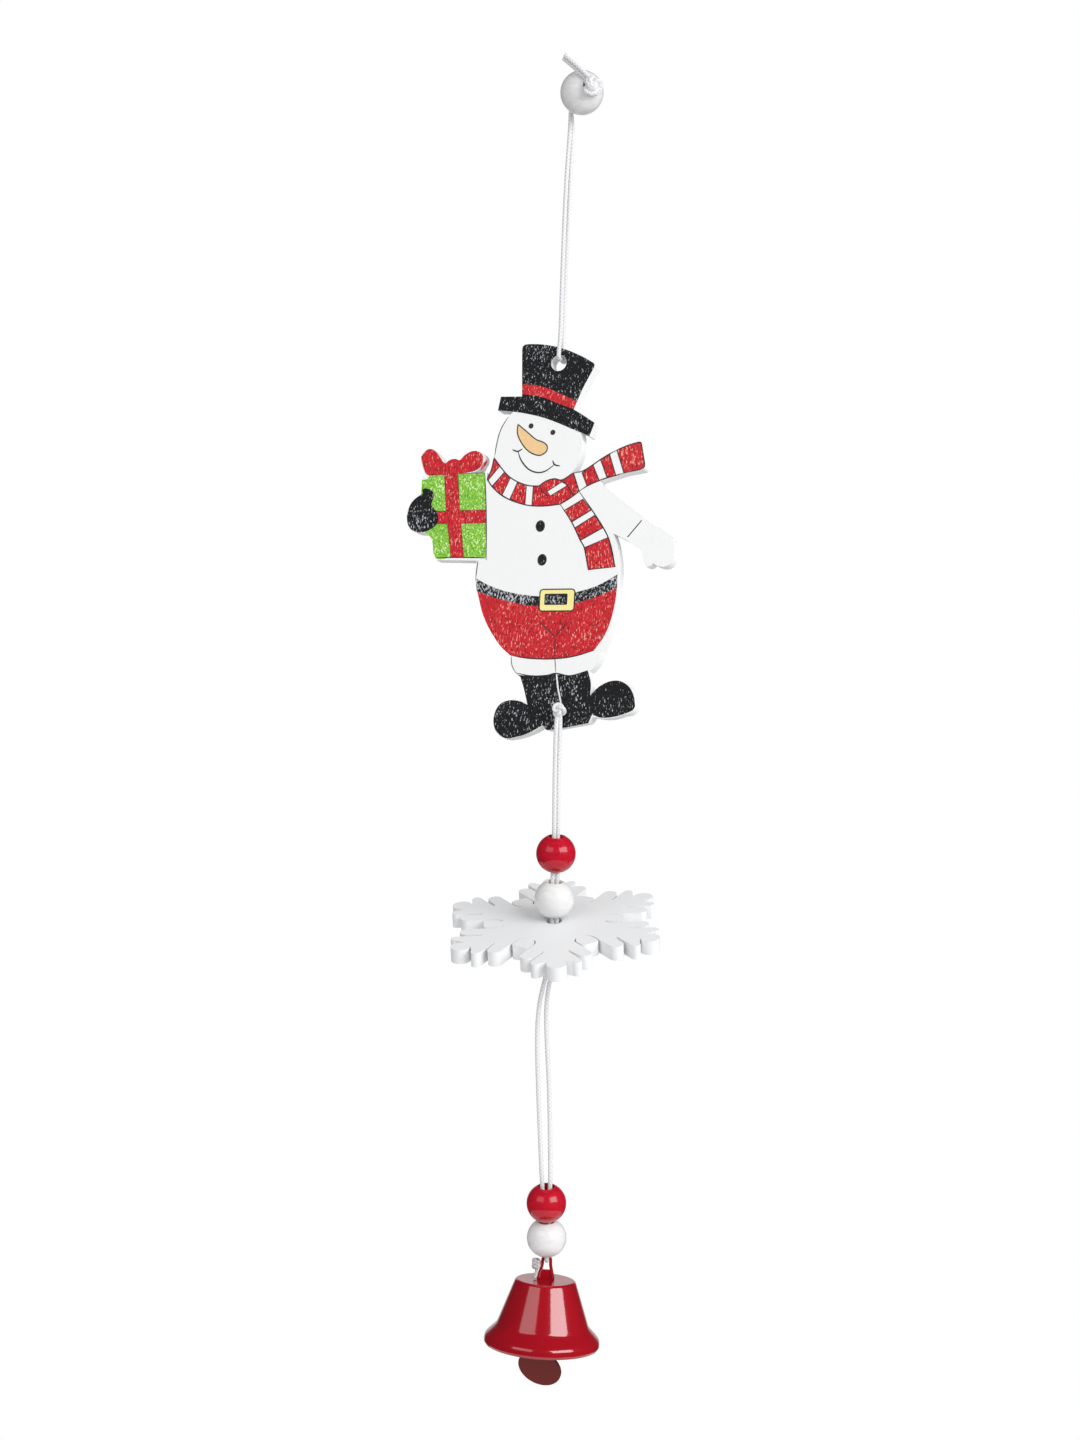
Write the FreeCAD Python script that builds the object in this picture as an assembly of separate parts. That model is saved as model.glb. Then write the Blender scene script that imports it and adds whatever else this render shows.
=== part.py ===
"""Hanging wooden snowman: a printed plywood snowman, a wooden snowflake and a
small enamelled bell, strung one under the other on white cord with round
wooden beads.

Frame: millimetres, +Z up, X to the snowman's left hand (to the right as one
looks at its face), -Y towards the viewer of that face. The origin is the
point that the ornament hangs by, between the two strands just below the top
bead. The snowflake, the beads and the bell face FACING degrees round from
the snowman, so their places are given as (across, ahead, z) on the line that
they hang on.
"""
import math
import os

import FreeCAD
import Part

V = FreeCAD.Vector

# ---------------------------------------------------------------- dimensions
# cord
cord_d = 1.5                # braided polyester cord
strand_gap = 0.1            # between two strands that run side by side

# snowman board
board_t = 5.0               # plywood
board_lean = 5.5            # degrees, top leans back
hat_hole_d = 5.6
boot_hole_d = 4.2
boot_hole_x = 8.3           # boot hole from the hat hole, across the board
boot_hole_z = -122.4        # and down it
hat_hole_at = V(-0.97, -0.79, -88.7)

# beads
bead_d = 13.6
bead_bore = 5.3
bead_rim = 0.35             # rounding at the bore's ends
top_bead_d = 15.0
top_bore = 5.0
bead_lean = 13.0            # degrees, the beads on the line lean forward

# snowflake
flake_t = 5.0
flake_hole_d = 5.5
flake_lean = 19.0           # degrees, front edge down
flake_roll = 3.9            # degrees, left side down
arm_r = 39.8                # centre to the tip of an arm
tip_w = 6.6                 # round tip
branch_r = 24.0             # short branch between two arms
branch_w = 6.6
branch_free = 6.8           # length of the slit beside the short branch
branch_round = 1.4          # rounding of its corners
slit = 0.5
bend = 3.2                  # the slit bends towards the branch over this
near_w = 4.8                # wide finger beside the short branch
near_back = 7.8             # its tip, short of the arm's length
far_w = 3.2                 # narrow finger beside it
far_back = 4.8
notch = 1.2                 # between the two fingers
notch_back = 15.4           # the notch's bottom, short of the arm's length

# bell
bell_h = 22.5
bell_crown_r = 10.3
bell_rim_r = 19.85
bell_wall = 0.8
crown_round = 1.2           # radius between crown and side
flare_w = 4.0               # the flare's foot stands this far inside the rim
flare_h = 6.9               # and this far above it
flare_round = 4.0
skirt_h = 3.0               # nearly upright skirt below the flare
skirt_round = 2.9
hem_h = 0.9                 # the skirt's edge turns in over this height
bell_tilt = 2.2             # degrees, the bell hangs a little askew
loop_wire = 1.1
loop_h = 6.5                # from the crown to the cord that it hangs on
loop_half = 1.36            # half the loop's width, wire centre to centre
loop_foot = 2.55            # the same where the loop meets the crown
web_h = 3.3                 # the loop's legs are filled in up to here
stem_d = 3.0
eye_wire = 1.4
eye_r = 1.9
clapper_wire = 1.0
clapper_ring_r = 1.5
clapper_reach = 31.4        # from the crown to the middle of the disc
clapper_d = 15.5
clapper_t = 1.2
clapper_lean = 30.0         # degrees, the disc's top leans ahead
clapper_turn = -20.0        # degrees, the disc is turned on its wire
clapper_hole_d = 1.9
fit = 0.05                  # between pieces that lie on each other

# the line that the lower pieces hang on
FACING = 21.0
ACROSS = V(math.cos(math.radians(FACING)), math.sin(math.radians(FACING)), 0)
AHEAD = V(math.sin(math.radians(FACING)), -math.cos(math.radians(FACING)), 0)
UP = V(0, 0, 1)
LINE = V(7.42, -16.97, 0)

mid_red_z = -259.0
mid_white_z = -274.5
mid_ahead = 0.8
flake_top_z = -282.0
low_white_at = (0.19, -1.4, -390.4)
low_lean = (-0.033, 0.223)  # across and ahead, per unit length of the bore

PARTS = {}


def on_line(across, ahead, z):
    """A point by its place across and ahead of the hanging line."""
    return LINE + ACROSS * across + AHEAD * ahead + UP * z


def unit(vector):
    return V(vector) * (1.0 / vector.Length)


def keep(name, shape):
    PARTS[name] = shape
    return shape


# ------------------------------------------------------------------- helpers
def rounded_run(points, folds):
    """Straight runs joined by tangent arcs, with their length and tightest
    radius. An arc is as large as its two runs allow, or has its radius in
    folds."""
    edges = []
    start = points[0]
    length = 0.0
    tightest = 1e9
    for i in range(1, len(points) - 1):
        point = points[i]
        back = points[i - 1] - point
        on = points[i + 1] - point
        half = (math.pi - back.getAngle(on)) / 2
        reach = 0.45 * min(back.Length, on.Length)
        radius = folds.get(i, reach / math.tan(half))
        reach = radius * math.tan(half)
        back, on = unit(back), unit(on)
        first = point + back * reach
        last = point + on * reach
        middle = point + unit(back + on) * (radius / math.cos(half) - radius)
        edges.append(Part.LineSegment(start, first).toShape())
        edges.append(Part.Arc(first, middle, last).toShape())
        length += (first - start).Length + radius * 2 * half
        tightest = min(tightest, radius)
        start = last
    edges.append(Part.LineSegment(start, points[-1]).toShape())
    return edges, length + (points[-1] - start).Length, tightest


def tube(points, diameter, folds=None):
    """A round tube on a rounded run; folds gives the radius where the cord
    or wire is bent round something."""
    edges, length, tightest = rounded_run(points, folds or {})
    wire = Part.Wire(edges)
    section = Part.Wire([Part.makeCircle(
        diameter / 2, points[0], unit(points[1] - points[0]))])
    solid = wire.makePipeShell([section], True, True)
    expected = math.pi * diameter ** 2 / 4 * length
    print("tube d %.1f: length %.1f, tightest radius %.1f, volume ratio %.4f"
          % (diameter, length, tightest, solid.Volume / expected))
    return solid


def ring(centre, normal, radius, wire):
    return Part.makeTorus(radius, wire / 2, centre, unit(normal))


def outline(start, *legs):
    """A closed face in the XZ plane: a leg is an end point for a line, or a
    middle point and an end point for an arc."""
    edges = []
    here = V(start[0], 0, start[1])
    for leg in legs:
        if isinstance(leg[0], tuple):
            middle = V(leg[0][0], 0, leg[0][1])
            end = V(leg[1][0], 0, leg[1][1])
            edges.append(Part.Arc(here, middle, end).toShape())
        else:
            end = V(leg[0], 0, leg[1])
            edges.append(Part.LineSegment(here, end).toShape())
        here = end
    first = V(start[0], 0, start[1])
    if (here - first).Length > 1e-6:
        edges.append(Part.LineSegment(here, first).toShape())
    return Part.Face(Part.Wire(edges))


def disc(x, z, radius):
    return Part.Face(Part.Wire([Part.makeCircle(
        radius, V(x, 0, z), V(0, 1, 0))]))


def slab(face, thickness):
    """Thickens a face in the XZ plane, half to each side."""
    solid = face.extrude(V(0, thickness, 0))
    solid.translate(V(0, -thickness / 2, 0))
    return solid


# ------------------------------------------------------------- snowman board
# Places on the board are (x, z) from the middle of the hat hole.
def board_place():
    return FreeCAD.Placement(hat_hole_at, FreeCAD.Rotation(V(1, 0, 0),
                                                           -board_lean))


def on_board(x, y, z):
    return board_place().multVec(V(x, y, z))


def board_features():
    """The flat shapes that make up the snowman's outline."""
    crown = outline((-12.4, -13.0), (-14.3, 5.6),
                    ((-13.9, 6.9), (-12.6, 7.4)),
                    ((0.2, 5.5), (12.3, -0.4)),
                    ((13.4, -1.1), (13.3, -2.3)),
                    ((9.2, -10.2), (6.2, -18.0)))
    brim = outline((-21.1, -11.2), (-12.4, -11.7), (6.4, -16.8),
                   ((10.8, -19.1), (14.4, -21.7)),
                   ((14.7, -22.0), (14.6, -22.6)), (13.3, -26.2),
                   ((13.0, -26.6), (12.5, -26.4)),
                   ((-4.2, -19.2), (-21.4, -16.1)),
                   ((-21.9, -15.9), (-21.9, -15.4)))
    head = disc(-5.9, -29.4, 16.2)
    scarf_tail = outline((-2.0, -40.5), (4.0, -41.6),
                         ((12.5, -37.5), (20.6, -32.8)),
                         ((25.5, -30.5), (31.0, -29.4)),
                         ((31.8, -29.6), (32.1, -30.4)), (33.8, -37.3),
                         ((33.6, -38.4), (32.6, -38.9)), (26.3, -39.9),
                         (17.4, -42.5), (10.0, -47.0), (0.0, -47.0))
    neck = outline((-21.8, -32.0), ((-22.6, -36.0), (-24.4, -40.6)),
                   ((-20.0, -46.0), (-12.0, -49.5)), (4.0, -50.0),
                   (4.0, -40.0))
    body = outline((-24.2, -40.0), (-26.3, -69.0),
                   ((-26.5, -75.5), (-25.2, -81.0)),
                   ((-20.4, -93.4), (-11.6, -103.2)),
                   ((-11.2, -106.8), (-8.6, -110.0)), (17.2, -109.0),
                   ((20.4, -105.8), (21.5, -101.8)),
                   ((25.2, -90.8), (26.2, -79.7)),
                   ((26.2, -70.5), (23.6, -60.8)), (18.0, -42.6),
                   (0.0, -38.0))
    arm = outline((14.0, -41.5), (18.0, -43.6), (31.0, -53.3),
                  ((36.8, -57.3), (41.6, -60.2)),
                  ((45.4, -64.4), (45.7, -68.6)),
                  ((44.6, -71.8), (41.6, -72.7)),
                  ((39.8, -72.2), (38.5, -71.4)),
                  ((37.2, -72.5), (35.9, -72.4)),
                  ((34.9, -70.0), (34.2, -66.8)), (28.7, -63.4),
                  (22.5, -60.3), (12.0, -52.0))
    gift = outline((-49.6, -39.0), (-24.6, -38.2), (-22.9, -69.7),
                   (-42.1, -69.1))
    bow = outline((-47.6, -39.5), ((-49.6, -36.0), (-50.5, -32.4)),
                  ((-48.4, -29.2), (-45.0, -29.8)),
                  ((-43.0, -31.8), (-41.0, -34.2)),
                  ((-37.4, -32.8), (-35.3, -33.5)),
                  ((-32.6, -31.0), (-29.0, -30.5)),
                  ((-26.2, -32.0), (-26.7, -35.0)),
                  ((-28.2, -37.2), (-30.7, -37.9)), (-30.7, -41.0),
                  (-46.0, -41.0))
    mitten = outline((-48.9, -43.4), ((-46.6, -43.4), (-44.6, -45.0)),
                     (-43.6, -51.0), (-43.6, -57.6),
                     ((-47.6, -59.2), (-52.3, -58.2)),
                     ((-54.5, -54.0), (-53.4, -49.0)),
                     ((-51.6, -46.8), (-48.7, -45.1)))
    boots = outline((-8.4, -109.0), (-7.2, -110.8), (-4.0, -119.5),
                    (-2.0, -128.5), (2.2, -127.5), (3.6, -129.0),
                    (18.5, -126.3), (20.2, -124.0), (18.8, -116.5),
                    (17.6, -108.5))
    left_shoe = outline((-3.8, -119.3), ((-8.5, -118.5), (-13.2, -119.5)),
                        ((-16.0, -122.8), (-16.3, -127.0)),
                        ((-14.4, -131.0), (-10.0, -132.1)),
                        ((-3.4, -130.4), (2.2, -127.4)), (3.0, -121.0))
    right_shoe = outline((17.5, -118.5), ((21.6, -114.0), (27.0, -111.9)),
                         ((32.2, -113.4), (34.7, -118.8)),
                         ((34.2, -122.0), (31.0, -123.3)),
                         ((26.0, -124.7), (19.4, -124.0)))
    return [crown, brim, head, scarf_tail, neck, body, arm, gift, bow,
            mitten, boots, left_shoe, right_shoe]


def snowman_board():
    faces = board_features()
    solid = slab(faces[0], board_t)
    solid = solid.fuse([slab(face, board_t) for face in faces[1:]])
    solid = solid.removeSplitter()
    hat = slab(disc(0, 0, hat_hole_d / 2), 2 * board_t)
    boot = slab(disc(boot_hole_x, boot_hole_z, boot_hole_d / 2), 2 * board_t)
    solid = solid.cut(hat).cut(boot)
    if len(solid.Solids) == 1:
        solid = solid.Solids[0]
    solid.Placement = board_place()
    return solid


# --------------------------------------------------------------------- beads
def bead(centre, axis, diameter, bore):
    """A turned ball with a bore through it and softened rims."""
    half = half_length(diameter, bore)
    face = Part.Face(Part.Wire([
        Part.Arc(V(bore / 2, 0, -half), V(diameter / 2, 0, 0),
                 V(bore / 2, 0, half)).toShape(),
        Part.LineSegment(V(bore / 2, 0, half),
                         V(bore / 2, 0, -half)).toShape()]))
    solid = face.revolve(V(0, 0, 0), V(0, 0, 1), 360)
    rims = [edge for edge in solid.Edges
            if isinstance(edge.Curve, Part.Circle)]
    solid = solid.makeFillet(bead_rim, rims)
    solid.Placement = FreeCAD.Placement(centre, FreeCAD.Rotation(
        V(0, 0, 1), unit(axis)))
    return solid


def half_length(diameter, bore):
    """Half the length of a bead along its bore."""
    return math.sqrt(diameter ** 2 - bore ** 2) / 2


# -------------------------------------------------------------- top of cord
# The top bead's bore points ahead of the line, a little across and up.
top_axis = unit(ACROSS * 0.40 + AHEAD * 0.915 + UP * 0.05)
strand_half = (cord_d + strand_gap) / 2
top_clear = half_length(top_bead_d, top_bore) + cord_d / 2 + 0.3
top_centre = (V(0, 0, 4.2) + V(top_axis.x, top_axis.y, 0)
              * (top_clear + strand_half))


def in_top_bead(along, aside=0.0):
    """A point by its place along the top bead's bore and above it."""
    lift = unit(UP - top_axis * UP.dot(top_axis))
    return top_centre + top_axis * along + lift * aside


def hanger_cord():
    """Up through the top bead, doubled: down in front of the hat, back
    through its hole and up behind it."""
    hole = hat_hole_d / 2 - cord_d / 2 - 0.25
    front = board_t / 2 + cord_d / 2 + 0.35
    back = board_t / 2 + cord_d / 2 + 0.55
    level = V(top_axis.x, top_axis.y, 0)
    inner = V(0, 0, 0) + level * strand_half
    outer = V(0, 0, 0) - level * strand_half
    end = half_length(top_bead_d, top_bore) + 1.4
    points = [
        in_top_bead(end, -strand_half),
        in_top_bead(-top_clear + 1.0, -strand_half),
        inner + UP * 2.0,
        on_board(0.5, -front - 0.2, 17.0),
        on_board(0.0, -front, hole),
        on_board(0.0, back, hole),
        on_board(0.0, back, 9.0),
        outer + UP * 1.6,
        in_top_bead(-top_clear - 0.6, strand_half),
        in_top_bead(end, strand_half)]
    folds = {1: 1.3, 2: 1.4, 4: 1.6, 5: 1.6, 7: 2.0, 8: 1.9}
    return tube(points, cord_d, folds)


def knot_turns(centre, axis, side, radius, turns, spread, ends=()):
    """A pulled-tight knot: a core with turns of cord laid round it, and the
    cord's ends where they come out of it."""
    knot = Part.makeSphere(radius * 0.82, centre)
    for end in ends:
        knot = knot.fuse(end)
    other = unit(axis).cross(unit(side))
    for i in range(turns):
        lean = math.radians(spread * (i - (turns - 1) / 2.0))
        spin = math.radians(70.0 * i)
        tip = (unit(axis) * math.cos(lean)
               + (unit(side) * math.cos(spin) + other * math.sin(spin))
               * math.sin(lean))
        knot = knot.fuse(ring(centre, tip, radius - cord_d / 2,
                              cord_d * 0.98))
    return knot


def hanger_knot():
    centre = (in_top_bead(half_length(top_bead_d, top_bore) + 2.1, 0)
              - UP * 0.8)
    ends = []
    for aside in (-strand_half, strand_half):
        shift = V(0.45, 0.0, 0.9) * aside
        ends.append(tube([centre + UP * 0.9 - ACROSS * 0.6 + shift,
                          centre + UP * 4.6 - ACROSS * 3.6 + AHEAD * 0.2
                          + shift,
                          centre + UP * 12.0 - ACROSS * 9.9 - AHEAD * 3.4
                          + shift], cord_d))
    return knot_turns(centre, top_axis, UP, 3.3, 3, 26.0, ends)


# -------------------------------------------------------------- middle cord
def bead_axis():
    lean = math.radians(bead_lean)
    return AHEAD * math.sin(lean) + UP * math.cos(lean)


def flake_normal():
    ahead = math.sin(math.radians(flake_lean))
    across = -math.sin(math.radians(flake_roll))
    return (AHEAD * ahead + ACROSS * across
            + UP * math.sqrt(1 - ahead ** 2 - across ** 2))


def flake_centre():
    """Middle of the snowflake's hole, half way through its thickness."""
    top = on_line(0, mid_ahead, flake_top_z)
    return top - flake_normal() * (flake_t / 2)


flake_knot_r = 3.2


def flake_knot_centre():
    drop = math.sqrt(flake_knot_r ** 2 - (flake_hole_d / 2) ** 2) + 2 * fit
    return flake_centre() - flake_normal() * (flake_t / 2 + drop)


pendant_ahead = board_t / 2 + 2.0      # from the board's middle to the strands


def pendant_knot():
    """Knots in front of and behind the boot hole, and the cord between."""
    front = on_board(boot_hole_x, -pendant_ahead, boot_hole_z)
    back = on_board(boot_hole_x, pendant_ahead, boot_hole_z)
    along = unit(back - front)
    reach = pendant_ahead - board_t / 2 - 2 * fit
    shapes = []
    for centre in (front, back):
        knot = knot_turns(centre, along, UP, 2.55, 2, 20.0)
        inside = Part.makeCylinder(6, 2 * reach, centre - along * reach,
                                   along)
        shapes.append(knot.common(inside))
    stub = Part.makeCylinder(cord_d * 0.95, (back - front).Length, front,
                             along)
    return shapes[0].fuse([shapes[1], stub])


def pendant_cord():
    """Doubled: from the knot under the snowflake, up through the beads to the
    knot at the boots, and back down."""
    knot = flake_knot_centre()
    top = on_board(boot_hole_x, -pendant_ahead, boot_hole_z)
    side = ACROSS * strand_half
    points = [
        knot - side + UP * 0.4,
        on_line(-0.80, mid_ahead, flake_top_z + 0.5),
        on_line(-0.83, mid_ahead - 0.3, mid_red_z - 6.6),
        on_line(-0.62, mid_ahead + 1.1, mid_red_z + 6.8),
        on_line(-1.00, 0.7, -231.0),
        top - side - UP * 0.2,
        top + side - UP * 0.4,
        on_line(0.15, -0.8, -231.0),
        on_line(0.62, mid_ahead - 0.12, mid_red_z + 6.8),
        on_line(0.83, mid_ahead - 0.3, mid_red_z - 6.6),
        on_line(0.80, mid_ahead, flake_top_z + 0.5),
        knot + side + UP * 0.4]
    folds = {5: 0.76, 6: 0.76}
    return tube(points, cord_d, folds)


def snowflake_knot():
    return Part.makeSphere(flake_knot_r, flake_knot_centre())


# ----------------------------------------------------------------- snowflake
def flake_outline():
    """One twelfth of the snowflake, from an arm's axis to the axis of the
    short branch beside it, mirrored and turned. Fingers run parallel to the
    short branch: d is the distance from its axis and s the distance along."""
    def finger(d, s):
        half, root = 0.5, math.sqrt(3) / 2
        return (half * s - root * d, root * s + half * d)

    inner = branch_w / 2 + slit
    near = inner + near_w
    far = near + notch
    wide = far + far_w
    tip = tip_w / 2
    near_tip = arm_r - near_back
    far_tip = arm_r - far_back
    deep = arm_r - notch_back
    root = branch_r - branch_free
    legs = [
        ((tip * 0.71, arm_r - tip * 0.29), (tip, arm_r - tip)),
        ((tip * 0.894, arm_r - tip * 1.448),
         (tip * 0.576, arm_r - tip * 1.817)),
        finger(wide, far_tip - far_w * 0.55),
        (finger(wide - far_w * 0.45, far_tip),
         finger(far, far_tip - far_w * 0.55)),
        finger(far, deep + notch / 2),
        (finger(far - notch / 3, deep),
         finger(near + notch / 4, deep + notch / 2)),
        finger(near, near_tip - near_w * 0.42),
        (finger(inner + near_w * 0.52, near_tip),
         finger(inner, near_tip - near_w * 0.42)),
        finger(inner, root + bend),
        (finger(inner - bend * 0.16, root + bend * 0.4),
         finger(inner - bend * 0.55, root)),
        finger(inner - bend * 0.55 - slit * 0.7, root + slit * 0.7),
        (finger(branch_w / 2 - bend * 0.13, root + bend * 0.52),
         finger(branch_w / 2, root + bend)),
        finger(branch_w / 2, branch_r - branch_round),
        (finger(branch_w / 2 - branch_round * 0.3,
                branch_r - branch_round * 0.3),
         finger(branch_w / 2 - branch_round, branch_r)),
        finger(0, branch_r),
    ]
    return (0.0, arm_r), legs


def snowflake():
    start, legs = flake_outline()
    edges = []
    for i in range(6):
        turn = math.radians(60.0 * i)
        for side in (1, -1):
            def place(point):
                x, y = side * point[0], point[1]
                return V(x * math.cos(turn) - y * math.sin(turn),
                         x * math.sin(turn) + y * math.cos(turn),
                         -flake_t / 2)

            here = place(start)
            for leg in legs:
                if isinstance(leg[0], tuple):
                    end = place(leg[1])
                    edge = Part.Arc(here, place(leg[0]), end)
                else:
                    end = place(leg)
                    edge = Part.LineSegment(here, end)
                edges.append(edge.toShape())
                here = end
    wire = Part.Wire(Part.__sortEdges__(edges))
    solid = Part.Face(wire).extrude(V(0, 0, flake_t))
    hole = Part.makeCylinder(flake_hole_d / 2, 2 * flake_t,
                             V(0, 0, -flake_t))
    solid = solid.cut(hole)
    # local +Y is the arm that points ahead
    normal = flake_normal()
    ahead = unit(AHEAD - normal * AHEAD.dot(normal))
    across = ahead.cross(normal)
    turn = FreeCAD.Matrix(across.x, ahead.x, normal.x, 0,
                          across.y, ahead.y, normal.y, 0,
                          across.z, ahead.z, normal.z, 0,
                          0, 0, 0, 1)
    solid.Placement = FreeCAD.Placement(flake_centre(), FreeCAD.Rotation(
        FreeCAD.Placement(turn).Rotation))
    return solid


# -------------------------------------------------------------- lower strands
def low_axis():
    across, ahead = low_lean
    return unit(ACROSS * across + AHEAD * ahead
                + UP * math.sqrt(1 - across ** 2 - ahead ** 2))


def low_white_centre():
    return on_line(*low_white_at)


def low_red_centre():
    apart = 2 * half_length(bead_d, bead_bore) + 2 * fit
    return low_white_centre() + low_axis() * apart


def bell_pivot():
    """Middle of the cord where the bell's loop hangs on it."""
    end = low_white_centre() - low_axis() * half_length(bead_d, bead_bore)
    return end - UP * 2.1


def lower_cord():
    """Doubled: from the snowflake's knot down through the low beads, under
    the bell's loop, and back up."""
    knot = flake_knot_centre()
    start = knot - UP * (flake_knot_r + 0.25)
    side = ACROSS * strand_half
    axis = low_axis()
    red, white = low_red_centre(), low_white_centre()
    flank = unit(ACROSS - axis * ACROSS.dot(axis))
    ahead = unit(AHEAD - axis * AHEAD.dot(axis))
    length = half_length(bead_d, bead_bore)
    twist = unit(flank + ahead) * 1.3
    pivot = bell_pivot()
    fold = (loop_wire + cord_d) / 2 + 3 * fit
    points = [
        start - side,
        on_line(-2.70, -1.0, -302.5),
        on_line(-4.60, -0.7, -312.0),
        on_line(-4.80, -0.3, -323.0),
        on_line(-4.00, 0.4, -339.0),
        on_line(-2.90, 1.4, -356.0),
        red + axis * (length + 1.5) - flank * 1.42,
        red - axis * length - twist,
        pivot - AHEAD * (fold - 0.05) + UP * 3.2,
        pivot - AHEAD * fold,
        pivot + AHEAD * fold,
        pivot + AHEAD * (fold - 0.05) + UP * 3.2,
        red - axis * length + twist,
        red + axis * (length + 1.5) + flank * 1.42,
        on_line(0.50, 1.0, -356.0),
        on_line(-0.20, 0.0, -339.0),
        on_line(-1.45, -0.5, -323.0),
        on_line(-2.05, -0.9, -312.0),
        on_line(-1.00, -1.1, -302.5),
        start + side]
    folds = {9: 1.0, 10: 1.0}
    return tube(points, cord_d, folds)


# ---------------------------------------------------------------------- bell
# The bell is drawn upright about the line through its pivot and then tilted.
bell_top_z = bell_pivot().z - loop_h


def bell_point(across, ahead, z):
    pivot = bell_pivot()
    return V(pivot.x, pivot.y, z) + ACROSS * across + AHEAD * ahead


def tilt_bell(shape):
    shape.rotate(bell_pivot(), AHEAD, -bell_tilt)
    return shape


def inset(points, wall):
    """A run in the XZ plane, moved to its right by the sheet's thickness."""
    sides = []
    for start, end in zip(points, points[1:]):
        along = unit(end - start)
        sides.append(V(along.z, 0, -along.x))
    moved = [points[0] + sides[0] * wall]
    for point, before, after in zip(points[1:], sides, sides[1:]):
        middle = unit(before + after)
        moved.append(point + middle * (wall / middle.dot(before)))
    return moved + [points[-1] + sides[-1] * wall]


def bell_shell():
    """Spun sheet of one thickness: flat crown, conical side, short flare and
    a nearly upright skirt with its edge turned in."""
    outer = [V(stem_d / 2, 0, 0),
             V(bell_crown_r, 0, 0),
             V(bell_rim_r - flare_w, 0, -bell_h + flare_h),
             V(bell_rim_r - bell_wall * 0.1, 0, -bell_h + skirt_h),
             V(bell_rim_r, 0, -bell_h + hem_h),
             V(bell_rim_r - bell_wall * 0.75, 0, -bell_h)]
    inner = inset(outer, bell_wall)
    wall = bell_wall
    outside = rounded_run(outer, {1: crown_round, 2: flare_round,
                                  3: skirt_round, 4: hem_h / 2})[0]
    inside = rounded_run(inner, {1: crown_round - wall,
                                 2: flare_round + wall,
                                 3: skirt_round - wall, 4: hem_h / 3})[0]
    edges = outside + inside + [
        Part.LineSegment(outer[-1], inner[-1]).toShape(),
        Part.LineSegment(outer[0], inner[0]).toShape()]
    face = Part.Face(Part.Wire(Part.__sortEdges__(edges)))
    solid = face.revolve(V(0, 0, 0), V(0, 0, 1), 360)
    solid.translate(bell_point(0, 0, bell_top_z))
    return tilt_bell(solid)


def bell_loop():
    """Wire loop on the crown, filled in between its legs, the stem through
    the crown and the eye under it."""
    top = bell_pivot().z + (loop_wire + cord_d) / 2 + 2 * fit
    foot = loop_wire * 0.45
    legs = tube([bell_point(-loop_foot, 0, bell_top_z + foot),
                 bell_point(-loop_half, 0, top - 2 * loop_half),
                 bell_point(-loop_half, 0, top),
                 bell_point(loop_half, 0, top),
                 bell_point(loop_half, 0, top - 2 * loop_half),
                 bell_point(loop_foot, 0, bell_top_z + foot)],
                loop_wire, {2: loop_half * 0.98, 3: loop_half * 0.98})
    rise = (web_h - foot) / (top - 2 * loop_half - bell_top_z - foot)
    narrow = loop_foot - (loop_foot - loop_half) * rise
    wide = loop_foot + loop_wire * 0.4
    web = slab(outline((-wide, 0), (-wide, foot), (-narrow, web_h),
                       (narrow, web_h), (wide, foot), (wide, 0)),
               loop_wire * 0.9)
    web.Placement = FreeCAD.Placement(
        bell_point(0, 0, bell_top_z), FreeCAD.Rotation(V(0, 0, 1), FACING))
    stem = Part.makeCylinder(stem_d / 2, bell_wall + 0.3,
                             bell_point(0, 0, bell_top_z + 0.2 - bell_wall
                                        - 0.5))
    eye = ring(eye_centre(), AHEAD, eye_r, eye_wire)
    return tilt_bell(legs.fuse([web, stem, eye]))


def eye_centre():
    return bell_point(0, 0, bell_top_z - bell_wall - eye_wire / 2 - eye_r
                      - 0.05)


def clapper_pivot():
    """The lowest part of the eye, which the clapper's ring hangs on."""
    return eye_centre() - UP * eye_r


def bell_knot():
    """The cord's end, knotted beside the loop's left leg, lying on the
    crown."""
    knot_z = bell_pivot().z - 0.9
    centre = bell_point(-loop_half - loop_wire / 2 - 1.45, 0.25, knot_z)
    core = Part.makeSphere(1.5, centre)
    coils = [ring(centre + UP * dz, UP + ACROSS * lean, 0.95, 1.3)
             for dz, lean in ((-1.1, 0.3), (0.1, -0.25), (1.2, 0.3))]
    end = tube([centre, centre - UP * 2.6 + ACROSS * 0.5,
                bell_point(-loop_foot - 1.15, 0.9, bell_top_z + 0.3)], 1.2)
    return tilt_bell(core.fuse(coils + [end]))


clapper_ring = clapper_hole_d / 2 + clapper_wire     # low ring's radius


def clapper_facing():
    """The way that the disc's front faces: turned, and leaning down."""
    turn, lean = math.radians(clapper_turn), math.radians(clapper_lean)
    level = AHEAD * math.cos(turn) + ACROSS * math.sin(turn)
    return level * math.cos(lean) - UP * math.sin(lean)


def clapper_up():
    """From the disc's middle to its hole."""
    along = unit(ACROSS.cross(clapper_facing()))
    return along if along.z > 0 else along * -1.0


def disc_centre():
    """The disc hangs with its ring right under the pivot."""
    slack = clapper_hole_d / 2 - clapper_wire / 2 - 2 * fit
    reach = clapper_up() * (clapper_d / 2 + slack)
    shift = V(reach.x, reach.y, 0)
    return bell_point(0, 0, bell_top_z - clapper_reach) - shift, reach


def clapper_rod():
    pivot = clapper_pivot()
    top = ring(pivot, ACROSS, clapper_ring_r, clapper_wire)
    centre, reach = disc_centre()
    low_at = centre + reach
    normal = unit(clapper_facing().cross(clapper_up()))
    low = ring(low_at, normal, clapper_ring, clapper_wire)
    start = low_at + unit(UP - normal * UP.dot(normal)) * clapper_ring
    end = pivot - UP * clapper_ring_r
    rod = Part.makeCylinder(clapper_wire / 2, (end - start).Length, start,
                            end - start)
    return tilt_bell(top.fuse([low, rod]))


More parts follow.
